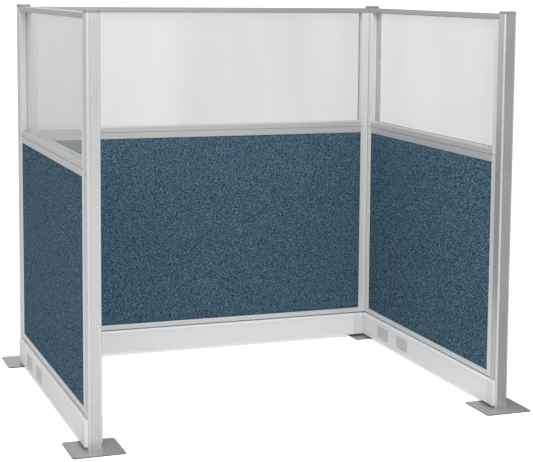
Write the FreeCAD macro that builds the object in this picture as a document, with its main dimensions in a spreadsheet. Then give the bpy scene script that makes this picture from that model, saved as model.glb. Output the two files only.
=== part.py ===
import FreeCAD, Part
import os
import re
import Sketcher

# Cubicle workstation: a back panel and two side panels between four slotted posts, open at the front.
# Millimetres, +Z up, +Y towards the back panel. The origin is on the floor, midway between the posts.
# Each panel is a fabric field in an extruded frame, with a framed window on top of it and a raceway
# for wiring under it.

SIZES = {
    # Layout
    "post_pitch_across": 1889,
    "post_pitch_deep": 1524,
    "joint_gap": 0.5,
    "fit": 0.3,
    "overrun": 2,
    # Posts: square extrusions with a shallow recess and a T-slot in each face
    "post_side": 60,
    "post_corner": 8,
    "recess_wide": 36,
    "recess_deep": 2,
    "slot_opening": 14,
    "slot_lip": 3,
    "slot_wide": 22,
    "slot_deep": 9,
    "bore_wide": 10.4,
    "chamber_wide": 9,
    "chamber_inset": 4.5,
    # Strips that close the unused faces of the posts
    "strip_groove": 1.5,
    "strip_tongue": 5,
    # Caps, floor plates and their screws
    "cap_high": 12,
    "cap_bevel": 2,
    "cap_plug": 14,
    "plate_side": 225,
    "plate_thick": 5,
    "plate_edge": 1,
    "plate_corner": 12,
    "screw_wide": 9.8,
    "screw_long": 45,
    "screw_head_wide": 17,
    "screw_head_sink": 0.4,
    # Panel frame, from the raceway up
    "panel_thick": 56,
    "frame_wall": 2.5,
    "edge_bevel": 2.5,
    "stile_wide": 37,
    "stile_slot_deep": 6,
    "frame_bottom": 138,
    "bottom_rail_high": 23,
    "field_high": 970,
    "top_rail_high": 33,
    # Core board and the fabric tiles on its two faces
    "core_thick": 30,
    "core_tongue": 6,
    "tile_recess": 2,
    "tile_reveal": 1,
    "tile_edge": 4,
    # Window frame, standing on a seam set in from the faces
    "seam_high": 2,
    "seam_inset": 5,
    "window_bottom_rail_high": 27,
    "window_high": 587,
    "window_top_rail_high": 24,
    "pane_thick": 6,
    "pane_bite": 9,
    "glazing_groove": 12,
    "gasket_thick": 3,
    "gasket_deep": 8,
    "gasket_proud": 1.5,
    "gasket_lip": 2,
    # Keys that lock the stiles to the posts
    "key_high": 80,
    "key_inset": 60,
    "key_head": 4,
    # Raceway channel and covers
    "race_bottom": 17,
    "race_gap": 6,
    "channel_half": 16,
    "channel_wall": 2,
    "channel_foot": 8,
    "cover_plane": 44,
    "cover_wall": 2,
    "ledge_bevel": 9,
    "crease_high": 2,
    "crease_deep": 1.2,
    "lip_high": 4,
    "lip_proud": 1,
    "corner_trim_long": 53,
    "front_trim_long": 54,
    "end_cap_long": 4,
    # Outlet cut-outs in the side panels' covers, and their blanks
    "outlet_from_rear": 277,
    "outlet_pitch": 243,
    "outlet_centre": 72,
    "outlet_long": 140,
    "outlet_high": 66,
    "blank_sink": 0.5,
    "blank_flange": 5,
    "blank_wall": 1.5,
}

os.makedirs("parts", exist_ok=True)
doc = FreeCAD.newDocument("cubicle_workstation")
sheet = doc.addObject("Spreadsheet::Sheet", "sizes")
for row, (name, value) in enumerate(SIZES.items(), start=1):
    sheet.set(f"A{row}", name)
    sheet.set(f"B{row}", str(value))
    sheet.setAlias(f"B{row}", name)
doc.recompute()

# Levels and places that follow from the sizes, as formulas
FIELD_BOTTOM = "(frame_bottom + bottom_rail_high)"
FIELD_TOP = f"({FIELD_BOTTOM} + field_high)"
FRAME_TOP = f"({FIELD_TOP} + top_rail_high)"
WINDOW_BOTTOM = f"({FRAME_TOP} + seam_high)"
PANE_BOTTOM = f"({WINDOW_BOTTOM} + window_bottom_rail_high)"
PANE_TOP = f"({PANE_BOTTOM} + window_high)"
PANEL_TOP = f"({PANE_TOP} + window_top_rail_high)"
LEDGE_TOP = "(frame_bottom - race_gap)"
BEVEL_FOOT = f"({LEDGE_TOP} - ledge_bevel)"
CREASE_FOOT = f"({BEVEL_FOOT} - crease_high)"
LIP_FOOT = f"({CREASE_FOOT} - lip_high)"
LIP_PLANE = "(cover_plane + lip_proud)"
BACK_RUN = "(post_pitch_across - post_side)"
SIDE_RUN = "(post_pitch_deep - post_side)"
HALF_PANEL = "(panel_thick / 2)"
HALF_POST = "(post_side / 2)"
CORE_GROOVE = ("(core_thick / 2 + fit)", "(core_tongue + fit)")
GLAZING_GROOVE = ("(pane_thick / 2 + gasket_thick)", "glazing_groove")
pieces = []


def formula(text):
    """Point each size named in a formula at its cell of the sheet."""
    return re.sub(r"[a-z_]+", lambda word: "sizes." + word[0] if word[0] in SIZES else word[0], text)


def number(text):
    return float(sheet.evalExpression(formula(text).replace("sizes.", "")))


def negative(text):
    return f"-({text})"


def new_body(label, turn=0, across="0", deep="0", up="0"):
    """Start a piece at its place: turned about Z, then moved to a point given by formulas."""
    body = doc.addObject("PartDesign::Body", label)
    body.Label = label
    body.Placement = FreeCAD.Placement(FreeCAD.Vector(), FreeCAD.Rotation(FreeCAD.Vector(0, 0, 1), turn))
    for axis, text in zip("xyz", (across, deep, up)):
        body.setExpression(f"Placement.Base.{axis}", formula(text))
    return body


def pin(sketch, geometry, point, across, up):
    """Hold a point of a sketch at a place measured from the sketch's origin."""
    for kind, text in (("DistanceX", across), ("DistanceY", up)):
        held = sketch.addConstraint(Sketcher.Constraint(kind, -1, 1, geometry, point, number(text)))
        sketch.setExpression(f"Constraints[{held}]", formula(text))


def section(body, role, outlines, circles=(), offset="0"):
    """Draw closed outlines, and circles by centre and width, on an origin plane of the body."""
    sketch = body.newObject("Sketcher::SketchObject", f"{body.Name}_section")
    plane = next(item for item in body.Origin.OriginFeatures if item.Role == role)
    sketch.AttachmentSupport = [(plane, "")]
    sketch.MapMode = "FlatFace"
    sketch.setExpression("AttachmentOffset.Base.z", formula(offset))
    for corners in outlines:
        places = [FreeCAD.Vector(number(across), number(up), 0) for across, up in corners]
        first = sketch.GeometryCount
        for here, there in zip(places, places[1:] + places[:1]):
            sketch.addGeometry(Part.LineSegment(here, there), False)
        for index, (across, up) in enumerate(corners):
            following = first + (index + 1) % len(corners)
            sketch.addConstraint(Sketcher.Constraint("Coincident", first + index, 2, following, 1))
            pin(sketch, first + index, 1, across, up)
    for across, up, wide in circles:
        centre = FreeCAD.Vector(number(across), number(up), 0)
        ring = Part.Circle(centre, FreeCAD.Vector(0, 0, 1), number(wide) / 2)
        index = sketch.addGeometry(ring, False)
        pin(sketch, index, 3, across, up)
        held = sketch.addConstraint(Sketcher.Constraint("Diameter", index, number(wide)))
        sketch.setExpression(f"Constraints[{held}]", formula(wide))
    return sketch


def pad(body, sketch, length, centred=False, reverse=False):
    feature = body.newObject("PartDesign::Pad", f"{body.Name}_pad")
    feature.Profile = sketch
    feature.setExpression("Length", formula(length))
    feature.SideType = "Symmetric" if centred else "One side"
    feature.Reversed = reverse
    return feature


def cut_through(body, sketch):
    """Cut the outlines through the whole piece, both ways from the sketch."""
    doc.recompute()
    before = body.Shape.Volume
    feature = body.newObject("PartDesign::Pocket", f"{body.Name}_pocket")
    feature.Profile = sketch
    feature.Type = "ThroughAll"
    feature.SideType = "Symmetric"
    doc.recompute()
    if not feature.Shape.Volume < before:
        raise RuntimeError(f"{body.Label}: a pocket cuts nothing")
    return feature


def round_edges(body, kind, size, wanted):
    """Fillet or chamfer the edges of the body for which wanted is true."""
    doc.recompute()
    base = body.Tip
    names = [f"Edge{index}" for index, edge in enumerate(base.Shape.Edges, start=1) if wanted(edge)]
    feature = body.newObject(f"PartDesign::{kind}", f"{body.Name}_{kind.lower()}")
    feature.Base = (base, names)
    feature.setExpression({"Fillet": "Radius", "Chamfer": "Size"}[kind], formula(size))
    return feature


def lies_at(edge, axis, place):
    """True for an edge whose ends both have this coordinate along the axis, x, y or z."""
    return all(abs(getattr(vertex.Point, axis) - place) < number("fit") / 2 for vertex in edge.Vertexes)


def box_corners(low_across, high_across, low_up, high_up):
    return [(low_across, low_up), (high_across, low_up), (high_across, high_up), (low_across, high_up)]


def centred_box(half_across, low_up, high_up):
    return box_corners(negative(half_across), half_across, low_up, high_up)


def both_halves(half):
    """Close an outline from its half on the positive side of the panel's mid-plane, in Y and Z."""
    return half + [(negative(deep), up) for deep, up in reversed(half)]


def gather(label, bodies):
    """Make one node of like pieces that stand apart."""
    group = doc.addObject("Part::Compound", label)
    group.Label = label
    group.Links = bodies
    return group


# Posts stand on the floor plates. Each face has the same recess and T-slot, patterned about the bore.
def make_post(label, across, deep):
    body = new_body(label, 0, across, deep, "plate_thick")
    outer = centred_box(HALF_POST, negative(HALF_POST), HALF_POST)
    sketch = section(body, "XY_Plane", [outer], [("0", "0", "bore_wide")])
    pad(body, sketch, f"{PANEL_TOP} - plate_thick")
    corner = number(HALF_POST)
    at_corner = lambda edge: lies_at(edge, "x", corner) or lies_at(edge, "x", -corner)
    at_side = lambda edge: lies_at(edge, "y", corner) or lies_at(edge, "y", -corner)
    body.Tip = round_edges(body, "Fillet", "post_corner", lambda edge: at_corner(edge) and at_side(edge))
    floor_line = f"({HALF_POST} - recess_deep)"
    lip_line = f"({floor_line} - slot_lip)"
    slot_end = f"({lip_line} - slot_deep)"
    half_slot = [
        (f"{HALF_POST} + overrun", "recess_wide / 2"),
        (floor_line, "recess_wide / 2"),
        (floor_line, "slot_opening / 2"),
        (lip_line, "slot_opening / 2"),
        (lip_line, "slot_wide / 2"),
        (slot_end, "slot_wide / 2"),
    ]
    slot = half_slot + [(along, negative(aside)) for along, aside in reversed(half_slot)]
    chamber_far = f"({HALF_POST} - chamber_inset)"
    chamber_near = f"({chamber_far} - chamber_wide)"
    chamber = box_corners(chamber_near, chamber_far, chamber_near, chamber_far)
    pocket = cut_through(body, section(body, "XY_Plane", [slot, chamber]))
    pattern = body.newObject("PartDesign::PolarPattern", f"{body.Name}_faces")
    pattern.Originals = [pocket]
    upright = next(item for item in body.Origin.OriginFeatures if item.Role == "Z_Axis")
    pattern.Axis = (upright, [""])
    pattern.Angle = 360
    pattern.Occurrences = 4
    body.Tip = pattern
    return body


# A filler strip clips into the T-slot of a post's unused face and lies flush with it, with a narrow
# groove left open on either side.
def make_strips(name, across, deep, open_faces):
    body = new_body(name, 0, across, deep, "plate_thick")
    strip_half = "recess_wide / 2 - strip_groove"
    tongue_half = "slot_opening / 2 - fit"
    floor_line = f"({HALF_POST} - recess_deep)"
    half = [
        (HALF_POST, strip_half),
        (floor_line, strip_half),
        (floor_line, tongue_half),
        (f"{floor_line} - strip_tongue", tongue_half),
    ]
    strip = half + [(along, negative(aside)) for along, aside in reversed(half)]
    turned = {
        "right": lambda along, aside: (along, aside),
        "rear": lambda along, aside: (negative(aside), along),
        "left": lambda along, aside: (negative(along), negative(aside)),
        "front": lambda along, aside: (aside, negative(along)),
    }
    outlines = [[turned[face](along, aside) for along, aside in strip] for face in open_faces]
    pad(body, section(body, "XY_Plane", outlines), f"{PANEL_TOP} - plate_thick")
    return body


def make_cap(name, across, deep):
    body = new_body(name, 0, across, deep, PANEL_TOP)
    outer = centred_box(HALF_POST, negative(HALF_POST), HALF_POST)
    pad(body, section(body, "XY_Plane", [outer]), "cap_high")
    at_top = lambda edge: lies_at(edge, "z", number("cap_high"))
    upright = lambda edge: not lies_at(edge, "z", 0) and not at_top(edge)
    body.Tip = round_edges(body, "Fillet", "post_corner", upright)
    body.Tip = round_edges(body, "Chamfer", "cap_bevel", at_top)
    plug = section(body, "XY_Plane", [], [("0", "0", "bore_wide - 2 * fit")])
    pad(body, plug, "cap_plug", reverse=True)
    return body


# The plate is bolted up into the post's bore by a countersunk screw whose head stays above the floor.
def make_plate(label, across, deep):
    body = new_body(label, 0, across, deep)
    half = "plate_side / 2"
    pad(body, section(body, "XY_Plane", [centred_box(half, negative(half), half)]), "plate_thick")
    at_top = lambda edge: lies_at(edge, "z", number("plate_thick"))
    upright = lambda edge: not lies_at(edge, "z", 0) and not at_top(edge)
    body.Tip = round_edges(body, "Fillet", "plate_corner", upright)
    body.Tip = round_edges(body, "Chamfer", "plate_edge", at_top)
    doc.recompute()
    solid = body.Shape.Volume
    hole = [
        ("0", "-overrun"),
        ("screw_head_wide / 2 + fit", "-overrun"),
        ("screw_head_wide / 2 + fit", "screw_head_sink"),
        ("screw_wide / 2 + fit", "screw_head_sink + (screw_head_wide - screw_wide) / 2"),
        ("screw_wide / 2 + fit", "plate_thick + overrun"),
        ("0", "plate_thick + overrun"),
    ]
    groove = body.newObject("PartDesign::Groove", f"{body.Name}_hole")
    groove.Profile = section(body, "XZ_Plane", [hole])
    groove.ReferenceAxis = (groove.Profile[0], ["V_Axis"])
    groove.Angle = 360
    doc.recompute()
    if not groove.Shape.Volume < solid:
        raise RuntimeError(f"{label}: the screw hole cuts nothing")
    return body


def make_screw(name, across, deep):
    body = new_body(name, 0, across, deep)
    outline = [
        ("0", "screw_head_sink"),
        ("screw_head_wide / 2", "screw_head_sink"),
        ("screw_wide / 2", "screw_head_sink + (screw_head_wide - screw_wide) / 2"),
        ("screw_wide / 2", "screw_long"),
        ("0", "screw_long"),
    ]
    turned = body.newObject("PartDesign::Revolution", f"{body.Name}_turned")
    turned.Profile = section(body, "XZ_Plane", [outline])
    turned.ReferenceAxis = (turned.Profile[0], ["V_Axis"])
    turned.Angle = 360
    return body


corners = {
    "rear_left": ("-post_pitch_across / 2", "post_pitch_deep / 2", ("left", "rear")),
    "rear_right": ("post_pitch_across / 2", "post_pitch_deep / 2", ("right", "rear")),
    "front_left": ("-post_pitch_across / 2", "-post_pitch_deep / 2", ("left", "front", "right")),
    "front_right": ("post_pitch_across / 2", "-post_pitch_deep / 2", ("left", "front", "right")),
}
for corner_name, (across, deep, _) in corners.items():
    pieces.append(make_post(f"{corner_name}_post", across, deep))
    pieces.append(make_plate(f"{corner_name}_floor_plate", across, deep))
pieces.append(gather("post_filler_strips", [
    make_strips(f"{corner_name}_strips", across, deep, open_faces)
    for corner_name, (across, deep, open_faces) in corners.items()
]))
pieces.append(gather("post_caps", [
    make_cap(f"{corner_name}_cap", across, deep) for corner_name, (across, deep, _) in corners.items()
]))
pieces.append(gather("plate_screws", [
    make_screw(f"{corner_name}_screw", across, deep) for corner_name, (across, deep, _) in corners.items()
]))


# A panel is modelled with X along its run, Y outwards from its mid-plane and Z up, then turned into place.
class Panel:
    def __init__(self, side, run, turn, across, deep, rear):
        self.side = side
        self.turn = turn
        self.across = across
        self.deep = deep
        self.rear = rear
        self.half_run = f"({run} / 2)"
        self.half_frame = f"({run} / 2 - joint_gap)"
        self.half_field = f"({run} / 2 - joint_gap - stile_wide)"

    def body(self, name):
        return new_body(f"{self.side}_{name}", self.turn, self.across, self.deep)

    def along_run(self, name, outlines, half_length):
        """Extrude a cross-section, in Y and Z, along the run and centred on it."""
        body = self.body(name)
        pad(body, section(body, "YZ_Plane", outlines), f"2 * {half_length}", centred=True)
        return body


# A rail is a hollow extrusion. Its bevelled face looks at the field, whose edge enters its groove.
# The sign says which way the rail's body lies from that face, up or down.
def rail_outlines(face, far, sign, groove):
    groove_half, groove_deep = groove
    inward = {"+": "-", "-": "+"}[sign]
    half = [
        (HALF_PANEL, far),
        (HALF_PANEL, f"{face} {sign} edge_bevel"),
        (f"{HALF_PANEL} - edge_bevel", face),
        (groove_half, face),
        (groove_half, f"{face} {sign} {groove_deep}"),
    ]
    hollow = centred_box(
        f"{HALF_PANEL} - frame_wall",
        f"{face} {sign} ({groove_deep} + frame_wall)",
        f"{far} {inward} frame_wall",
    )
    return [both_halves(half), hollow]


# A stile has the field's groove on one edge and a T-slot for the post's keys on the other.
def stile_outlines(panel, groove):
    groove_half, groove_deep = groove
    half = [
        ("slot_lip + stile_slot_deep", "slot_wide / 2"),
        ("slot_lip", "slot_wide / 2"),
        ("slot_lip", "slot_opening / 2"),
        ("0", "slot_opening / 2"),
        ("0", HALF_PANEL),
        ("stile_wide - edge_bevel", HALF_PANEL),
        ("stile_wide", f"{HALF_PANEL} - edge_bevel"),
        ("stile_wide", groove_half),
        (f"stile_wide - {groove_deep}", groove_half),
    ]
    whole = half + [(along, negative(aside)) for along, aside in reversed(half)]
    hollow_half = f"{HALF_PANEL} - frame_wall"
    hollow = box_corners(
        "slot_lip + stile_slot_deep + frame_wall",
        f"stile_wide - {groove_deep} - frame_wall",
        negative(hollow_half),
        hollow_half,
    )
    return [
        [(f"{end}({panel.half_frame} - ({along}))", aside) for along, aside in outline]
        for end in ("", "-")
        for outline in (whole, hollow)
    ]


def make_frame(panel):
    top_outlines = rail_outlines(FIELD_TOP, FRAME_TOP, "+", CORE_GROOVE)
    top = panel.along_run("frame_top_rail", top_outlines, panel.half_field)
    low_outlines = rail_outlines(FIELD_BOTTOM, "frame_bottom", "-", CORE_GROOVE)
    low = panel.along_run("frame_bottom_rail", low_outlines, panel.half_field)
    stiles = panel.body("frame_stiles")
    sketch = section(stiles, "XY_Plane", stile_outlines(panel, CORE_GROOVE), offset="frame_bottom")
    pad(stiles, sketch, f"{FRAME_TOP} - frame_bottom")
    return [top, low, stiles]


# The core board enters the frame's grooves. A fabric-wrapped tile with rounded edges lies on each face.
def make_field(panel):
    core = panel.body("tack_core")
    board = centred_box(
        f"{panel.half_field} + core_tongue",
        f"{FIELD_BOTTOM} - core_tongue",
        f"{FIELD_TOP} + core_tongue",
    )
    pad(core, section(core, "XZ_Plane", [board]), "core_thick", centred=True)
    tiles = []
    for name, outward in (("fabric_inner", False), ("fabric_outer", True)):
        tile = panel.body(name)
        face = centred_box(
            f"{panel.half_field} - tile_reveal",
            f"{FIELD_BOTTOM} + tile_reveal",
            f"{FIELD_TOP} - tile_reveal",
        )
        offset = "-core_thick / 2" if outward else "core_thick / 2"
        sketch = section(tile, "XZ_Plane", [face], offset=offset)
        pad(tile, sketch, f"{HALF_PANEL} - tile_recess - core_thick / 2", reverse=outward)
        front = number(f"{HALF_PANEL} - tile_recess") * (1 if outward else -1)
        tile.Tip = round_edges(tile, "Fillet", "tile_edge", lambda edge: lies_at(edge, "y", front))
        tiles.append(tile)
    return [core] + tiles


# The window's top rail caps its stiles, and its bottom rail stands on the seam.
def make_window(panel):
    low_outlines = rail_outlines(PANE_BOTTOM, WINDOW_BOTTOM, "-", GLAZING_GROOVE)
    low = panel.along_run("window_bottom_rail", low_outlines, panel.half_field)
    seam = centred_box(f"{HALF_PANEL} - seam_inset", FRAME_TOP, WINDOW_BOTTOM)
    pad(low, section(low, "YZ_Plane", [seam]), f"2 * {panel.half_frame}", centred=True)
    top_outlines = rail_outlines(PANE_TOP, PANEL_TOP, "+", GLAZING_GROOVE)
    top = panel.along_run("window_top_rail", top_outlines, panel.half_frame)
    stiles = panel.body("window_stiles")
    sketch = section(stiles, "XY_Plane", stile_outlines(panel, GLAZING_GROOVE), offset=WINDOW_BOTTOM)
    pad(stiles, sketch, f"{PANE_TOP} - {WINDOW_BOTTOM}")
    pane = panel.body("glazing")
    sheet_outline = centred_box(
        f"{panel.half_field} + pane_bite",
        f"{PANE_BOTTOM} - pane_bite",
        f"{PANE_TOP} + pane_bite",
    )
    pad(pane, section(pane, "XZ_Plane", [sheet_outline]), "pane_thick", centred=True)
    return [low, top, stiles, pane]


# Gasket strips fill the glazing groove on both sides of the pane, with a lip over the groove's edge.
def make_gaskets(panel):
    body = panel.body("gaskets")
    inner = "pane_thick / 2"
    outer = f"{inner} + gasket_thick"
    strip = [
        (inner, "-gasket_deep"),
        (outer, "-gasket_deep"),
        (outer, "0"),
        (f"{outer} + gasket_lip", "0"),
        (f"{outer} + gasket_lip", "gasket_proud"),
        (inner, "gasket_proud"),
    ]
    flat = []
    upright = []
    for face in ("", "-"):
        flat.append([(f"{face}({aside})", f"{PANE_BOTTOM} + ({out})") for aside, out in strip])
        flat.append([(f"{face}({aside})", f"{PANE_TOP} - ({out})") for aside, out in strip])
        for end in ("", "-"):
            upright.append([
                (f"{end}({panel.half_field} - ({out}))", f"{face}({aside})") for aside, out in strip
            ])
    pad(body, section(body, "YZ_Plane", flat), f"2 * {panel.half_field}", centred=True)
    sketch = section(body, "XY_Plane", upright, offset=f"{PANE_BOTTOM} + gasket_proud + fit")
    pad(body, sketch, "window_high - 2 * (gasket_proud + fit)")
    return body


# Double-headed keys slide in the T-slots of a post and of a stile and draw the two together.
def make_keys(panel):
    body = panel.body("keys")
    stile_head = "joint_gap + slot_lip"
    post_head = "recess_deep + slot_lip"
    half = [
        (f"-({stile_head} + key_head)", "slot_wide / 2 - fit"),
        (f"-({stile_head})", "slot_wide / 2 - fit"),
        (f"-({stile_head})", "slot_opening / 2 - fit"),
        (post_head, "slot_opening / 2 - fit"),
        (post_head, "slot_wide / 2 - fit"),
        (f"{post_head} + key_head", "slot_wide / 2 - fit"),
    ]
    key = half + [(along, negative(aside)) for along, aside in reversed(half)]
    outlines = [
        [(f"{end}({panel.half_run} + {along})", aside) for along, aside in key] for end in ("", "-")
    ]
    levels = (
        "frame_bottom + key_inset",
        f"{FRAME_TOP} - key_inset - key_high",
        f"{WINDOW_BOTTOM} + key_inset",
        f"{PANE_TOP} - key_inset - key_high",
    )
    for level in levels:
        pad(body, section(body, "XY_Plane", outlines, offset=level), "key_high")
    return body


# The raceway channel hangs under the bottom rail. Each cover hooks over its leg at the top and under
# its foot at the bottom. A shadow gap parts the rail from the cover's ledge, which is bevelled and
# ends in a lip that stands proud of the face.
def channel_outline():
    leg_inside = "channel_half - channel_wall"
    web_under = "frame_bottom - channel_wall"
    foot_under = "race_bottom + cover_wall"
    half = [
        (HALF_PANEL, "frame_bottom"),
        (HALF_PANEL, web_under),
        ("channel_half", web_under),
        ("channel_half", f"{foot_under} + channel_wall"),
        ("channel_half + channel_foot", f"{foot_under} + channel_wall"),
        ("channel_half + channel_foot", foot_under),
        (leg_inside, foot_under),
        (leg_inside, web_under),
    ]
    return both_halves(half)


def ledge_outline(start, wall="0"):
    """Face, lip, crease, bevel and ledge of a cover up to start, or their inside at one wall."""
    slack = f"({wall}) * tan(45 deg / 2)"
    inward = f"({wall}) * lip_proud / cover_wall"
    return [
        (f"cover_plane - ({wall})", f"race_bottom + ({wall})"),
        (f"cover_plane - ({wall})", f"{LIP_FOOT} - {inward}"),
        (f"{LIP_PLANE} - ({wall})", f"{LIP_FOOT} - {inward}"),
        (f"{LIP_PLANE} - ({wall})", f"{CREASE_FOOT} - {slack}"),
        (f"{LIP_PLANE} - crease_deep - ({wall})", f"{CREASE_FOOT} + crease_high / 2 - {slack}"),
        (f"{LIP_PLANE} - ({wall})", f"{BEVEL_FOOT} - {slack}"),
        (f"{LIP_PLANE} - ledge_bevel - {slack}", f"{LEDGE_TOP} - ({wall})"),
        (start, f"{LEDGE_TOP} - ({wall})"),
    ]


def cover_outline(face):
    """Cross-section of a cover, folded from sheet with the same wall all round."""
    outside = [("channel_half", "race_bottom")] + ledge_outline("channel_half")
    inside = [("channel_half", "race_bottom + cover_wall")] + ledge_outline("channel_half", "cover_wall")
    return [(f"{face}({deep})", up) for deep, up in outside + inside[::-1]]


def outlet_outlines(panel, growth):
    """The two cut-outs of a side panel's cover, each side moved outwards by growth."""
    half_long = f"(outlet_long / 2 + ({growth}))"
    half_high = f"(outlet_high / 2 + ({growth}))"
    outlines = []
    for place in ("outlet_from_rear", "(outlet_from_rear + outlet_pitch)"):
        middle = f"{panel.rear}({panel.half_run} - {place})"
        outlines.append(box_corners(
            f"{middle} - {half_long}",
            f"{middle} + {half_long}",
            f"outlet_centre - {half_high}",
            f"outlet_centre + {half_high}",
        ))
    return outlines


def make_raceway(panel):
    channel = panel.along_run("raceway_channel", [channel_outline()], panel.half_frame)
    inner_half = panel.half_frame
    if panel.side == "back":
        inner_half = f"(post_pitch_across / 2 - {LIP_PLANE} - 2 * joint_gap - corner_trim_long)"
    inner = panel.along_run("raceway_inner_cover", [cover_outline("-")], inner_half)
    outer = panel.along_run("raceway_outer_cover", [cover_outline("")], panel.half_frame)
    if panel.side != "back":
        for cover in (inner, outer):
            cut_through(cover, section(cover, "XZ_Plane", outlet_outlines(panel, "0")))
    return [channel, inner, outer]


# Corner trims close the back panel's inner cover against the side panels' covers.
def make_corner_trims(panel):
    body = panel.body("raceway_end_trims")
    for end, reverse in (("", True), ("-", False)):
        offset = f"{end}(post_pitch_across / 2 - {LIP_PLANE} - joint_gap)"
        sketch = section(body, "YZ_Plane", [cover_outline("-")], offset=offset)
        pad(body, sketch, "corner_trim_long", reverse=reverse)
    return body


# A front trim carries the left-hand cover of each side panel past its front post, and a short one closes
# the end of the right-hand cover. Each is a shell open to the post.
def make_front_trims(panel):
    body = panel.body("raceway_end_trims")
    open_edge = f"{HALF_POST} - overrun"
    shell = [(HALF_POST, "race_bottom")] + ledge_outline(HALF_POST)
    inside = [(open_edge, "race_bottom + cover_wall")] + ledge_outline(open_edge, "cover_wall")
    towards_rear = panel.rear == ""
    front, left_hand, right_hand = ("-", "", "-") if towards_rear else ("", "-", "")
    for face, length in ((left_hand, "front_trim_long"), (right_hand, "end_cap_long")):
        outline, hollow = (
            [(f"{face}({deep})", up) for deep, up in points] for points in (shell, inside)
        )
        sketch = section(body, "YZ_Plane", [outline], offset=f"{front}{panel.half_run}")
        pad(body, sketch, length, reverse=towards_rear)
        doc.recompute()
        solid = body.Shape.Volume
        pocket = body.newObject("PartDesign::Pocket", f"{body.Name}_pocket")
        pocket.Profile = section(body, "YZ_Plane", [hollow], offset=f"{front}{panel.half_run}")
        pocket.setExpression("Length", formula(f"{length} - cover_wall"))
        pocket.Reversed = not towards_rear
        doc.recompute()
        if not pocket.Shape.Volume < solid:
            raise RuntimeError(f"{body.Label}: a shell is not hollow")
    return body


# A blank fills each outlet cut-out from behind, held by the flange round its plate.
def make_blanks(panel):
    body = panel.body("outlet_blanks")
    plate_long = "cover_wall - blank_sink"
    for outward in (False, True):
        side = "-" if outward else ""
        level = f"{side}(cover_plane - cover_wall)"
        plate = section(body, "XZ_Plane", outlet_outlines(panel, "-fit"), offset=level)
        pad(body, plate, plate_long, reverse=outward)
        flange = section(body, "XZ_Plane", outlet_outlines(panel, "blank_flange"), offset=level)
        pad(body, flange, "blank_wall", reverse=not outward)
    return body


panels = (
    Panel("back", BACK_RUN, 0, "0", "post_pitch_deep / 2", ""),
    Panel("left", SIDE_RUN, 90, "-post_pitch_across / 2", "0", ""),
    Panel("right", SIDE_RUN, -90, "post_pitch_across / 2", "0", "-"),
)
for panel in panels:
    pieces += make_frame(panel)
    pieces += make_field(panel)
    pieces += make_window(panel)
    pieces += make_raceway(panel)
    if panel.side == "back":
        pieces.append(make_corner_trims(panel))
    else:
        pieces.append(make_front_trims(panel))
        pieces.append(make_blanks(panel))
pieces.append(gather("glazing_gaskets", [make_gaskets(panel) for panel in panels]))
pieces.append(gather("panel_connectors", [make_keys(panel) for panel in panels]))

doc.recompute()
for item in doc.Objects:
    if {"Invalid", "Error"} & set(item.State):
        raise RuntimeError(f"{item.Name} did not recompute: {item.State}")
for piece in pieces:
    if piece.Shape.isNull() or not piece.Shape.isValid():
        raise RuntimeError(f"{piece.Label} has no valid shape")
for piece in pieces:
    piece.Shape.exportStep(f"parts/{piece.Label}.step")
print(len(pieces), "pieces written")
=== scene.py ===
import math

import bmesh
import bpy
from mathutils import Matrix, Vector, noise


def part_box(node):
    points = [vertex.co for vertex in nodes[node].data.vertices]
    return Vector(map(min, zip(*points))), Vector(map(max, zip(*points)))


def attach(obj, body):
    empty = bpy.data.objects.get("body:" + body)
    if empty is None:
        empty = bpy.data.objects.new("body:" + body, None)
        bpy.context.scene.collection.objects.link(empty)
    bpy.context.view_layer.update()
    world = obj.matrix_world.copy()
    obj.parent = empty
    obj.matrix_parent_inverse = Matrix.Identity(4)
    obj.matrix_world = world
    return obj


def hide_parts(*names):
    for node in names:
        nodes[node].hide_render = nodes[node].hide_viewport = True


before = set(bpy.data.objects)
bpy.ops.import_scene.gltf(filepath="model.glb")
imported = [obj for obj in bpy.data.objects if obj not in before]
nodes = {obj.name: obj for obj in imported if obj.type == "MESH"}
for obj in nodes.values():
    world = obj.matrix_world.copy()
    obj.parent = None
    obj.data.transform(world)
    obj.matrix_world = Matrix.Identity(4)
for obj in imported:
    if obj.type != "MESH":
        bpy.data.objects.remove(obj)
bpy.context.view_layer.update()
scene = bpy.context.scene

# Camera
# It stands in front of the open side and to its left, a little above the posts. The lens is shifted to
# put the workstation at its place in the picture.
CAMERA_PLACE = (-2.264, -6.643, 1.915)
CAMERA_YAW = math.radians(-20.93)
CAMERA_PITCH = math.radians(-6.329)
CAMERA_ROLL = math.radians(0.584)
LENS_LENGTH = 99.83
LENS_SHIFT = (-0.0741, -0.1501)
FARTHEST_SEEN = 500

lens = bpy.data.cameras.new("photo_view")
lens.lens = LENS_LENGTH
lens.shift_x, lens.shift_y = LENS_SHIFT
lens.clip_end = FARTHEST_SEEN
camera = bpy.data.objects.new("photo_view", lens)
scene.collection.objects.link(camera)
camera.matrix_world = (
    Matrix.Translation(CAMERA_PLACE)
    @ Matrix.Rotation(CAMERA_YAW, 4, "Z")
    @ Matrix.Rotation(math.pi / 2 + CAMERA_PITCH, 4, "X")
    @ Matrix.Rotation(CAMERA_ROLL, 4, "Z")
)
scene.camera = camera
scene.view_settings.view_transform = "Standard"

# Floor and light
# A white floor without an edge runs into a white world. Soft light comes from all round and from two
# wide lamps in front, and a small one hangs over the inside. Dark cards to the right, which only glossy
# surfaces see, give the metal its tones.
FLOOR_HALF = 300
FLOOR_DROP = 0.0005
FLOOR_TONE = 226
FLOOR_SWING = 0.01
FLOOR_GLOW = 0.62
FLOOR_GLOSS_GLOW = 0.15
FLOOR_BOUNCE = 0.12
AMBIENT = 0.7
CARD_TONE = 24
CARD_SWING = 0.1


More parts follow.
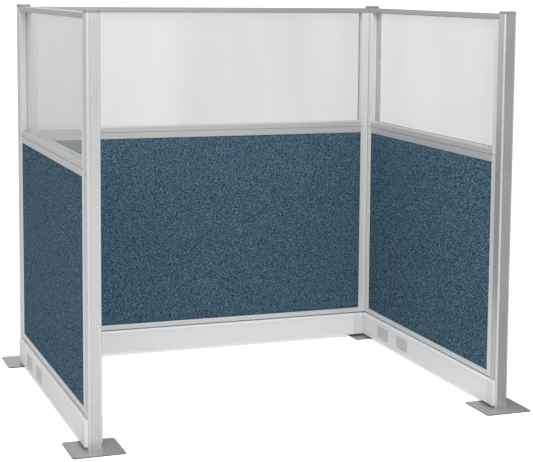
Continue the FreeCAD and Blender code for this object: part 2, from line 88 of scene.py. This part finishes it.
def srgb(red, green, blue):
    """A colour as it reads on screen, 0 to 255, for a shader."""
    parts = [value / 255 for value in (red, green, blue)]
    linear = [part / 12.92 if part <= 0.04045 else ((part + 0.055) / 1.055) ** 2.4 for part in parts]
    return (*linear, 1.0)


def grey(tone):
    return srgb(tone, tone, tone)


def new_material(name):
    """A material with its node tree and its shader."""
    material = bpy.data.materials.new(name)
    material.use_nodes = True
    return material, material.node_tree, material.node_tree.nodes["Principled BSDF"]


def add_node(tree, kind, inputs=(), **fields):
    """Add a node, set its fields, and give its inputs a value or a link."""
    node = tree.nodes.new(kind)
    for field, value in fields.items():
        setattr(node, field, value)
    for socket, value in dict(inputs).items():
        if isinstance(value, bpy.types.NodeSocket):
            tree.links.new(value, node.inputs[socket])
        else:
            node.inputs[socket].default_value = value
    return node


def calculate(tree, operation, *values):
    """A sum or the like of values and sockets."""
    return add_node(tree, "ShaderNodeMath", enumerate(values), operation=operation).outputs[0]


def coordinates(tree, kind="Object"):
    """The shaded point in the piece's own metres, or the kind of coordinate named."""
    return add_node(tree, "ShaderNodeTexCoord").outputs[kind]


def stretched_to(tree, value, low, high, from_low=0.0, from_high=1.0):
    """A value whose own range is stretched or squeezed to go from low to high."""
    ends = {"From Min": from_low, "From Max": from_high, "To Min": low, "To Max": high}
    return add_node(tree, "ShaderNodeMapRange", {"Value": value, **ends}).outputs["Result"]


def shaded(tree, colour, level):
    """A colour made darker or lighter by a level around 1."""
    return add_node(tree, "ShaderNodeHueSaturation", {"Color": colour, "Value": level}).outputs["Color"]


def mottle(tree, scale, detail, roughness=0.5, stretch=(1, 1, 1), turn=(0, 0, 0)):
    """Noise in marks per metre, stretched along the axes and turned."""
    laid = {"Vector": coordinates(tree), "Rotation": turn, "Scale": stretch}
    place = add_node(tree, "ShaderNodeMapping", laid).outputs["Vector"]
    grain = {"Vector": place, "Scale": scale, "Detail": detail, "Roughness": roughness}
    return add_node(tree, "ShaderNodeTexNoise", grain).outputs["Fac"]


def seen_directly(tree):
    """1 for rays from the eye, a gloss or a clear pane, which see the white of the room as it is."""
    path = add_node(tree, "ShaderNodeLightPath").outputs
    glossy = calculate(tree, "MAXIMUM", path["Is Camera Ray"], path["Is Glossy Ray"])
    return calculate(tree, "MAXIMUM", glossy, path["Is Transmission Ray"])


def add_mesh(name, shape, material):
    """Make a finished shape an object at the origin, in one material."""
    mesh = bpy.data.meshes.new(name)
    shape.to_mesh(mesh)
    shape.free()
    mesh.materials.append(material)
    made = bpy.data.objects.new(name, mesh)
    scene.collection.objects.link(made)
    return made


world = bpy.data.worlds.new("studio")
world.use_nodes = True
scene.world = world
tree = world.node_tree
white = tree.nodes["Background"]
white.inputs["Color"].default_value = (1, 1, 1, 1)
tree.links.new(stretched_to(tree, seen_directly(tree), AMBIENT, 1.0), white.inputs["Strength"])

floor_paint, tree, shader = new_material("floor_paint")
patches = stretched_to(tree, mottle(tree, scale=0.8, detail=3.0), 1 - FLOOR_SWING, 1 + FLOOR_SWING)
tree.links.new(shaded(tree, grey(FLOOR_TONE), patches), shader.inputs["Base Color"])
gloss_glow = stretched_to(tree, seen_directly(tree), FLOOR_BOUNCE, FLOOR_GLOSS_GLOW)
from_eye = add_node(tree, "ShaderNodeLightPath").outputs["Is Camera Ray"]
glow = stretched_to(tree, from_eye, gloss_glow, FLOOR_GLOW)
tree.links.new(glow, shader.inputs["Emission Strength"])
shader.inputs["Emission Color"].default_value = (1, 1, 1, 1)
shader.inputs["Roughness"].default_value = 0.8
shader.inputs["Specular IOR Level"].default_value = 0.0

shape = bmesh.new()
bmesh.ops.create_grid(shape, x_segments=1, y_segments=1, size=FLOOR_HALF)
bmesh.ops.translate(shape, verts=shape.verts, vec=(0, 0, -FLOOR_DROP))
floor = add_mesh("floor", shape, floor_paint)


def hang_lamp(name, place, target, wide, high, power):
    """A wide soft lamp at a place, turned to shine on its target."""
    lamp = bpy.data.lights.new(name, "AREA")
    lamp.shape = "RECTANGLE"
    lamp.size = wide
    lamp.size_y = high
    lamp.energy = power
    holder = bpy.data.objects.new(name, lamp)
    scene.collection.objects.link(holder)
    turn = (Vector(place) - Vector(target)).to_track_quat("Z", "Y").to_matrix().to_4x4()
    holder.matrix_world = Matrix.Translation(place) @ turn


hang_lamp("front_lamp", place=(-4.2, -6.0, 3.6), target=(0, 0, 0.9), wide=5.0, high=3.0, power=112)
hang_lamp("opening_lamp", place=(-0.5, -5.0, 4.5), target=(0, 0.4, 0.7), wide=2.4, high=2.4, power=165)
hang_lamp("inner_lamp", place=(-0.6, 0.2, 3.4), target=(0.9, 0.5, 0.3), wide=1.2, high=1.2, power=32)

card_paint, tree, shader = new_material("card_paint")
felt = stretched_to(tree, mottle(tree, scale=40.0, detail=3.0), 1 - CARD_SWING, 1 + CARD_SWING)
tree.links.new(shaded(tree, grey(CARD_TONE), felt), shader.inputs["Base Color"])
shader.inputs["Roughness"].default_value = 1.0


def lay_card(name, low, high):
    """A thin dark block between two corners, which only glossy surfaces see."""
    shape = bmesh.new()
    bmesh.ops.create_cube(shape, size=1)
    size = Vector(high) - Vector(low)
    bmesh.ops.scale(shape, vec=size, verts=shape.verts)
    bmesh.ops.translate(shape, vec=Vector(low) + size / 2, verts=shape.verts)
    card = add_mesh(name, shape, card_paint)
    card.visible_camera = False
    card.visible_diffuse = False
    card.visible_transmission = False
    card.visible_shadow = False


lay_card("front_card", low=(1.05, -1.52, 0.01), high=(1.7, -1.5, 3.2))
lay_card("floor_card", low=(1.0, -1.5, 0.0003), high=(1.7, -0.6, 0.0008))
lay_card("rear_card", low=(2.2, 5.0, 0.01), high=(8.6, 5.02, 4.0))

# Floor plates and their screws
# Square steel plates carry the posts, each bolted up into its post by a countersunk screw. They have a
# faint brushed grain, and their upright sides are darkened with painted shade along the edges.
CORNERS = ("rear_left", "rear_right", "front_left", "front_right")
EDGE_SHADE_LEVEL = 0.3
EDGE_SHADE_FLATNESS = (0.5, 0.9)
FINE_RELIEF = 0.00002
GRAIN_RANGE = (0.6, 1.4)


def surface(name, colour, metallic, roughness, grain, relief, tone_swing=0.04, gloss_swing=0.06):
    """A finish whose tone, gloss and relief follow a fine grain, over broad soft patches.

    The grain is in marks per metre along X, Y and Z, and the relief in metres.
    """
    material, tree, shader = new_material(name)
    fine = mottle(tree, scale=1.0, detail=4.0, roughness=0.6, stretch=grain)
    broad = mottle(tree, scale=4.0, detail=2.0)
    both = calculate(tree, "ADD", fine, broad)
    level = stretched_to(tree, both, 1 - tone_swing, 1 + tone_swing, *GRAIN_RANGE)
    gloss = stretched_to(tree, both, roughness - gloss_swing, roughness + gloss_swing, *GRAIN_RANGE)
    bump = add_node(tree, "ShaderNodeBump", {"Height": fine, "Distance": relief, "Strength": 1.0})
    tree.links.new(shaded(tree, colour, level), shader.inputs["Base Color"])
    tree.links.new(gloss, shader.inputs["Roughness"])
    tree.links.new(bump.outputs["Normal"], shader.inputs["Normal"])
    shader.inputs["Metallic"].default_value = metallic
    return material


def tint(material, level):
    """Let a level around 1 darken or lighten the tone that a finish has."""
    tree = material.node_tree
    tone = tree.nodes["Principled BSDF"].inputs["Base Color"]
    tree.links.new(shaded(tree, tone.links[0].from_socket, level), tone)


def dress(material, *names):
    """Give a finish to whole CAD pieces."""
    for name in names:
        for place in nodes[name].material_slots:
            place.material = material


plate_steel = surface(
    "plate_steel",
    grey(160),
    metallic=0.3,
    roughness=0.34,
    grain=(900, 60, 60),
    relief=FINE_RELIEF,
)
tree = plate_steel.node_tree
# The plate's upright sides take a darker tone than its top: painted shade along the edges.
upward = add_node(tree, "ShaderNodeSeparateXYZ", {0: coordinates(tree, "Normal")}).outputs["Z"]
flatness = calculate(tree, "ABSOLUTE", upward)
tint(plate_steel, stretched_to(tree, flatness, EDGE_SHADE_LEVEL, 1.0, *EDGE_SHADE_FLATNESS))
dress(plate_steel, *(f"{corner}_floor_plate" for corner in CORNERS))
screw_steel = surface(
    "screw_steel",
    srgb(150, 150, 152),
    metallic=1.0,
    roughness=0.35,
    grain=(300, 300, 300),
    relief=FINE_RELIEF,
)
dress(screw_steel, "plate_screws")

# Posts, filler strips and caps
# The posts are aluminium extrusions with a satin anodised skin. Filler strips of the same metal close
# the faces that carry no panel, and a moulded cap plugs into the top of each post.
UPRIGHT = (700, 700, 3)
ACROSS = (3, 700, 700)
DEEP = (700, 3, 700)
POST_METALLIC = 0.55
POST_ROUGHNESS = 0.3


def aluminium(name, tone, direction, metallic=0.22, roughness=0.34):
    """Satin anodised aluminium, with the faint lines that the die leaves along an extrusion."""
    return surface(
        name, grey(tone), metallic, roughness, grain=direction, relief=0.000012, tone_swing=0.03
    )


post_skin = aluminium("post_skin", 197, UPRIGHT, POST_METALLIC, POST_ROUGHNESS)
dress(post_skin, *(f"{corner}_post" for corner in CORNERS))
strip_skin = aluminium("strip_skin", 187, UPRIGHT, POST_METALLIC, POST_ROUGHNESS)
dress(strip_skin, "post_filler_strips")
cap_plastic = surface(
    "cap_plastic",
    srgb(126, 127, 128),
    metallic=0.0,
    roughness=0.5,
    grain=(900, 900, 900),
    relief=0.00004,
)
dress(cap_plastic, "post_caps")

# Panel frames
# Hollow rails and stiles of like extrusions. The rails butt between the stiles without a mitre, and
# double-headed keys in the slots draw the stiles to the posts.
SIDES = ("back", "left", "right")
RUNS = {"back": ACROSS, "left": DEEP, "right": DEEP}
STILE_TONE = 206
# Top rails and window sills take a darker tone than the stiles and bottom rails of the same finish:
# painted shade.
SHADED_RAIL_TONE = 178
BOTTOM_RAIL_TONE = 202

stile_skin = aluminium("stile_skin", STILE_TONE, UPRIGHT)
dress(stile_skin, *(f"{side}_frame_stiles" for side in SIDES))
for side in SIDES:
    top_shaded_skin = aluminium(f"{side}_top_rail_shaded_skin", SHADED_RAIL_TONE, RUNS[side])
    dress(top_shaded_skin, f"{side}_frame_top_rail")
    bottom_skin = aluminium(f"{side}_bottom_rail_skin", BOTTOM_RAIL_TONE, RUNS[side])
    dress(bottom_skin, f"{side}_frame_bottom_rail")
key_metal = surface(
    "key_metal",
    srgb(170, 170, 172),
    metallic=1.0,
    roughness=0.4,
    grain=(400, 400, 400),
    relief=0.00003,
)
dress(key_metal, "panel_connectors")

# Core boards
# Pressed fibreboard in the grooves of each frame, between its two fabric tiles. Only its cut edge could
# ever be seen.
core_fibre = surface(
    "core_fibre",
    srgb(176, 150, 116),
    metallic=0.0,
    roughness=0.85,
    grain=(500, 500, 160),
    relief=0.0003,
    tone_swing=0.12,
)
dress(core_fibre, *(f"{side}_tack_core" for side in SIDES))

# Fabric tiles
# A thin padded board wrapped in blue-grey woven cloth fills each face of each frame, set a little
# below its edges. The cloth is pulled tight over rounded edges, so the face is faintly crowned.
TILE_EDGE = 0.004
TILE_EDGE_STEPS = 4
TILE_CROWN = 0.0012
TILE_CROWN_POWER = 6
TILE_RIPPLE = 0.0003
RIPPLES_PER_METRE = 9
TILE_SPACING = 0.025
CLOTH_DARK = srgb(26, 44, 62)
CLOTH_BLUE = srgb(62, 83, 100)
CLOTH_TEAL = srgb(64, 93, 106)
CLOTH_PALE = srgb(108, 131, 145)
CLOTH_RELIEF = 0.0006
FLECKS_PER_METRE = 160
FLECK_STRETCH = (1.0, 0.44, 1.0)
FLECK_TURN = (0.5, 0.6, 0.7)
THREADS_PER_METRE = 560
THREAD_SHARE = 0.35
THREAD_SWING = 0.1


def waves(tree, run, per_metre):
    """A wave from -1 to 1 along a run."""
    return calculate(tree, "SINE", calculate(tree, "MULTIPLY", run, per_metre * 2 * math.pi))


def woven_cloth():
    """Dark and pale flecks over a fine weave.

    The flecks run longer along the two sides. Their noise is turned off the axes, because a tile that
    lies in one flat layer of it would look plainer or bolder than the others.
    """
    material, tree, shader = new_material("woven_cloth")
    flecks = mottle(
        tree,
        scale=FLECKS_PER_METRE,
        detail=2.0,
        roughness=0.6,
        stretch=FLECK_STRETCH,
        turn=FLECK_TURN,
    )
    shades = add_node(tree, "ShaderNodeValToRGB", {"Fac": flecks})
    ramp = shades.color_ramp.elements
    ramp[0].position, ramp[0].color = 0.36, CLOTH_DARK
    ramp[1].position, ramp[1].color = 0.7, CLOTH_PALE
    ramp.new(0.46).color = CLOTH_BLUE
    ramp.new(0.54).color = CLOTH_TEAL
    place = coordinates(tree)
    along = add_node(tree, "ShaderNodeVectorMath", {0: place, 1: (1, 1, 0)}, operation="DOT_PRODUCT")
    height = add_node(tree, "ShaderNodeSeparateXYZ", {0: place}).outputs["Z"]
    weft = waves(tree, along.outputs["Value"], THREADS_PER_METRE)
    warp = waves(tree, height, THREADS_PER_METRE)
    weave = calculate(tree, "MULTIPLY", weft, warp)
    relief = calculate(tree, "MULTIPLY_ADD", weave, THREAD_SHARE, flecks)
    bump = add_node(
        tree, "ShaderNodeBump", {"Height": relief, "Distance": CLOTH_RELIEF, "Strength": 0.8}
    )
    level = stretched_to(tree, weave, 1 - THREAD_SWING, 1 + THREAD_SWING, from_low=-1.0)
    tree.links.new(shaded(tree, shades.outputs["Color"], level), shader.inputs["Base Color"])
    tree.links.new(bump.outputs["Normal"], shader.inputs["Normal"])
    shader.inputs["Roughness"].default_value = 0.92
    shader.inputs["Specular IOR Level"].default_value = 0.05
    return material


def thin_axis(size):
    """The axis, 0 for X or 1 for Y, across an upright sheet."""
    return 0 if size.x < size.y else 1


def upright_frame(name, core):
    """The width, height and depth of an upright sheet, and the matrix that stands it in its place.

    In the sheet's own frame X runs along it, Y up, and Z outwards, away from the core behind it.
    """
    low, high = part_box(name)
    size = high - low
    thin = thin_axis(size)
    core_low, core_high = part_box(core)
    outward = Vector((0, 0, 0))
    outward[thin] = 1 if (low + high)[thin] > (core_low + core_high)[thin] else -1
    up = Vector((0, 0, 1))
    across = up.cross(outward)
    behind = (low + high) / 2 - outward * size[thin] / 2
    turned = Matrix((across, up, outward)).transposed().to_4x4()
    return size[1 - thin], size.z, size[thin], Matrix.Translation(behind) @ turned


def place_piece(name, shape, material, *replaced):
    """Make a finished shape a piece of the workstation, in place of the CAD nodes named."""
    piece = add_mesh(name, shape, material)
    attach(piece, "root")
    if replaced:
        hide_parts(*replaced)
    return piece


def make_tile(name, node, core, material):
    """A crowned face with rounded edges, closed at the back."""
    wide, high, deep, stand = upright_frame(node, core)
    shape = bmesh.new()
    half_wide = wide / 2 - TILE_EDGE
    half_high = high / 2 - TILE_EDGE
    bmesh.ops.create_grid(
        shape, x_segments=round(wide / TILE_SPACING), y_segments=round(high / TILE_SPACING), size=1
    )
    for point in shape.verts:
        crown = (1 - point.co.x ** TILE_CROWN_POWER) * (1 - point.co.y ** TILE_CROWN_POWER)
        where = stand @ Vector((point.co.x * half_wide, point.co.y * half_high, 0))
        lift = TILE_CROWN + TILE_RIPPLE * noise.noise(where * RIPPLES_PER_METRE)
        point.co = (point.co.x * half_wide, point.co.y * half_high, deep + crown * lift)
    rim = [edge for edge in shape.edges if edge.is_boundary]
    reach = 0
    for step in range(1, TILE_EDGE_STEPS + 2):
        turn = min(step / TILE_EDGE_STEPS, 1) * math.pi / 2
        drop = TILE_EDGE * (1 - math.cos(turn)) if step <= TILE_EDGE_STEPS else deep
        next_reach = TILE_EDGE * math.sin(turn)
        grown = bmesh.ops.extrude_edge_only(shape, edges=rim)["geom"]
        rim = [item for item in grown if isinstance(item, bmesh.types.BMEdge)]
        ring = [item for item in grown if isinstance(item, bmesh.types.BMVert)]
        spread_wide = (half_wide + next_reach) / (half_wide + reach)
        spread_high = (half_high + next_reach) / (half_high + reach)
        bmesh.ops.scale(shape, vec=(spread_wide, spread_high, 1), verts=ring)
        for point in ring:
            point.co.z = deep - drop
        reach = next_reach
    bmesh.ops.contextual_create(shape, geom=rim)
    bmesh.ops.recalc_face_normals(shape, faces=shape.faces)
    for face in shape.faces:
        face.smooth = True
    bmesh.ops.transform(shape, matrix=stand, verts=shape.verts)
    tile = place_piece(name, shape, material, node)


cloth = woven_cloth()
for side in SIDES:
    for face in ("inner", "outer"):
        make_tile(f"{side}_{face}_tile", f"{side}_fabric_{face}", f"{side}_tack_core", cloth)

# Window frames and gaskets
# The window's rails and stiles are slimmer extrusions in the same satin finish, on a seam set in from
# the faces. Pale rubber strips hold the pane in its groove.
# The head rails take a much darker tone than the stiles of the same satin finish: painted shade.
SHADED_HEAD_TONE = 150

window_stile_skin = aluminium("window_stile_skin", STILE_TONE, UPRIGHT)
dress(window_stile_skin, *(f"{side}_window_stiles" for side in SIDES))
for side in SIDES:
    sill_shaded_skin = aluminium(f"{side}_window_sill_shaded_skin", SHADED_RAIL_TONE, RUNS[side])
    dress(sill_shaded_skin, f"{side}_window_bottom_rail")
    head_shaded_skin = aluminium(f"{side}_window_head_shaded_skin", SHADED_HEAD_TONE, RUNS[side])
    dress(head_shaded_skin, f"{side}_window_top_rail")
gasket_rubber = surface(
    "gasket_rubber",
    srgb(205, 206, 206),
    metallic=0.0,
    roughness=0.6,
    grain=(600, 600, 600),
    relief=0.00005,
)
dress(gasket_rubber, "glazing_gaskets")

# Glazing
# Translucent plastic sheet with fine level flutes on both faces. It lets through about half of the
# light, so what stands behind it shows pale. White tape seals the cut edges inside the grooves.
TAPE_WIDE = 0.009
FLUTE_PITCH = 0.009
FLUTE_STEPS = 6
FLUTE_DEPTH = 0.0004
PANE_OPACITY = 0.315
PANE_COAT_ROUGHNESS = 0.12
REFLECTION_BANDS_PER_METRE = (3.5, 3.5, 0.5)
REFLECTION_BAND_SWING = 0.22
REFLECTION_BAND_RANGE = (0.3, 0.7)

pane_plastic = surface(
    "pane_plastic",
    srgb(148, 150, 149),
    metallic=0.0,
    roughness=0.22,
    grain=(30, 30, 300),
    relief=FINE_RELIEF,
    tone_swing=0.02,
)
tree = pane_plastic.node_tree
shader = tree.nodes["Principled BSDF"]
shader.inputs["Alpha"].default_value = PANE_OPACITY
shader.inputs["Coat Weight"].default_value = 1.0
shader.inputs["Coat Roughness"].default_value = PANE_COAT_ROUGHNESS
# Soft upright bands lighten and darken the sheet's tone: painted reflection.
reflection_bands = mottle(tree, scale=1.0, detail=2.0, stretch=REFLECTION_BANDS_PER_METRE)
tint(pane_plastic, stretched_to(tree, reflection_bands, 1 - REFLECTION_BAND_SWING, 1 + REFLECTION_BAND_SWING, *REFLECTION_BAND_RANGE))
edge_tape = surface(
    "edge_tape",
    grey(226),
    metallic=0.0,
    roughness=0.5,
    grain=(500, 500, 500),
    relief=FINE_RELIEF,
    tone_swing=0.02,
)


def make_pane(name, node):
    """A sheet fluted on both faces, with tape round its edges."""
    low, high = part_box(node)
    size = high - low
    thin = thin_axis(size)
    flutes = round(size.z / FLUTE_PITCH)
    shape = bmesh.new()
    bmesh.ops.create_grid(shape, x_segments=3, y_segments=flutes * FLUTE_STEPS, size=1)
    half_thick = size[thin] / 2
    half_wide = size[1 - thin] / 2
    for point in shape.verts:
        wave = math.cos(math.pi * point.co.y * flutes)
        at_edge = abs(point.co.x) > 0.5
        point.co = (
            math.copysign(half_wide if at_edge else half_wide - TAPE_WIDE, point.co.x),
            half_thick + FLUTE_DEPTH * (wave - 1),
            point.co.y * size.z / 2,
        )
    for face in shape.faces:
        middle = face.calc_center_median()
        near_side = abs(middle.x) > half_wide - TAPE_WIDE
        near_end = abs(middle.z) > size.z / 2 - TAPE_WIDE
        face.material_index = int(near_side or near_end)
    rim = [edge for edge in shape.edges if edge.is_boundary]
    mirrored = bmesh.ops.duplicate(shape, geom=shape.faces[:] + shape.edges[:] + shape.verts[:])
    far = [item for item in mirrored["geom"] if isinstance(item, bmesh.types.BMVert)]
    bmesh.ops.scale(shape, vec=(1, -1, 1), verts=far)
    far_rim = [mirrored["edge_map"][edge] for edge in rim]
    for face in bmesh.ops.bridge_loops(shape, edges=rim + far_rim)["faces"]:
        face.material_index = 1
    bmesh.ops.recalc_face_normals(shape, faces=shape.faces)
    for face in shape.faces:
        face.smooth = abs(face.normal.y) > 0.5
    turn = Matrix.Rotation(math.pi / 2 if thin == 0 else 0, 4, "Z")
    centre = Matrix.Translation((low + high) / 2)
    bmesh.ops.transform(shape, matrix=centre @ turn, verts=shape.verts)
    pane = place_piece(name, shape, pane_plastic, node)
    pane.data.materials.append(edge_tape)


for side in SIDES:
    make_pane(f"{side}_pane", f"{side}_glazing")

# Raceways
# A steel channel hangs under each frame. Covers folded from sheet hook over it on both sides, with
# trims of the same section at the corners and round the front posts, all in pale silver powder coat.
channel_steel = surface(
    "channel_steel",
    srgb(176, 178, 180),
    metallic=1.0,
    roughness=0.4,
    grain=(80, 80, 500),
    relief=FINE_RELIEF,
)
dress(channel_steel, *(f"{side}_raceway_channel" for side in SIDES))


def coat(name, tone, roughness):
    """Silver powder coat, baked on sheet steel."""
    return surface(
        name,
        grey(tone),
        metallic=0.0,
        roughness=roughness,
        grain=(700, 700, 700),
        relief=0.00006,
        tone_swing=0.015,
    )


powder_coat = coat("powder_coat", 219, 0.42)
trim_coat = coat("trim_coat", 208, 0.4)
for side in SIDES:
    dress(powder_coat, f"{side}_raceway_inner_cover", f"{side}_raceway_outer_cover")
    dress(trim_coat, f"{side}_raceway_end_trims")

# Cover ends
# At the two rear corners the outer covers stop against the posts. A small plate of the same coated
# sheet, folded back inside each cover, closes its hollow end.
CLOSER_THICK = 0.0015
CLOSER_SET_BACK = 0.001
CLOSER_ROOM = 0.0003
COVER_SHEET = 0.002
COVER_LIP = 0.001
BEVEL_RISE = 0.0087
BEVEL_RUN = 0.0068


def close_cover(name, side, toward):
    """Close one end of a side's outer cover, the end that lies toward the sign given."""
    low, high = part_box(f"{side}_raceway_outer_cover")
    channel_low, channel_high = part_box(f"{side}_raceway_channel")
    thin = thin_axis(high - low)
    outward = 1 if (low + high)[thin] > 0 else -1
    outer, hidden = (high, channel_high) if outward > 0 else (low, channel_low)
    far = outer[thin] - outward * (COVER_SHEET + COVER_LIP + CLOSER_ROOM)
    near = hidden[thin] + outward * CLOSER_ROOM
    bottom = low.z + COVER_SHEET + CLOSER_ROOM
    top = high.z - COVER_SHEET - CLOSER_ROOM
    outline = (
        (near, bottom),
        (far, bottom),
        (far, top - BEVEL_RISE),
        (far - outward * BEVEL_RUN, top),
        (near, top),
    )
    start = (high if toward > 0 else low)[1 - thin] - toward * CLOSER_SET_BACK
    shape = bmesh.new()
    for depth, height in outline:
        point = Vector((0, 0, height))
        point[thin] = depth
        point[1 - thin] = start
        bmesh.ops.create_vert(shape, co=point)
    sheet = bmesh.ops.contextual_create(shape, geom=shape.verts)["faces"]
    grown = bmesh.ops.extrude_face_region(shape, geom=sheet, use_keep_orig=True)["geom"]
    back = Vector((0, 0, 0))
    back[1 - thin] = -toward * CLOSER_THICK
    moved = [item for item in grown if isinstance(item, bmesh.types.BMVert)]
    bmesh.ops.translate(shape, vec=back, verts=moved)
    bmesh.ops.recalc_face_normals(shape, faces=shape.faces)
    closer = place_piece(name, shape, trim_coat)


close_cover("back_closer_left", "back", -1)
close_cover("back_closer_right", "back", 1)
close_cover("left_closer_rear", "left", 1)
close_cover("right_closer_rear", "right", 1)

# Outlet blanks
# Moulded plates that close the outlet cut-outs, clipped in from behind. Plain grey plastic with fine
# upright ribs, whose valleys are darkened with painted shade.
RIBS_PER_METRE = 110
RIB_DEPTH = 0.0006
RIB_PAINTED_SHADE = 0.86

blank_plastic = surface(
    "blank_plastic",
    grey(196),
    metallic=0.0,
    roughness=0.5,
    grain=(1500, 1500, 1500),
    relief=0.00005,
)
tree = blank_plastic.node_tree
shader = tree.nodes["Principled BSDF"]
run = add_node(tree, "ShaderNodeSeparateXYZ", {0: coordinates(tree)}).outputs["Y"]
ribs = waves(tree, run, RIBS_PER_METRE)
grained = shader.inputs["Normal"].links[0].from_socket
ribbed = add_node(
    tree, "ShaderNodeBump", {"Height": ribs, "Distance": RIB_DEPTH, "Normal": grained}
)
tree.links.new(ribbed.outputs["Normal"], shader.inputs["Normal"])
# The rib valleys take a darker tone than the crests: painted shade.
tint(blank_plastic, stretched_to(tree, ribs, RIB_PAINTED_SHADE, 1.0, from_low=-1.0))
dress(blank_plastic, "left_outlet_blanks", "right_outlet_blanks")
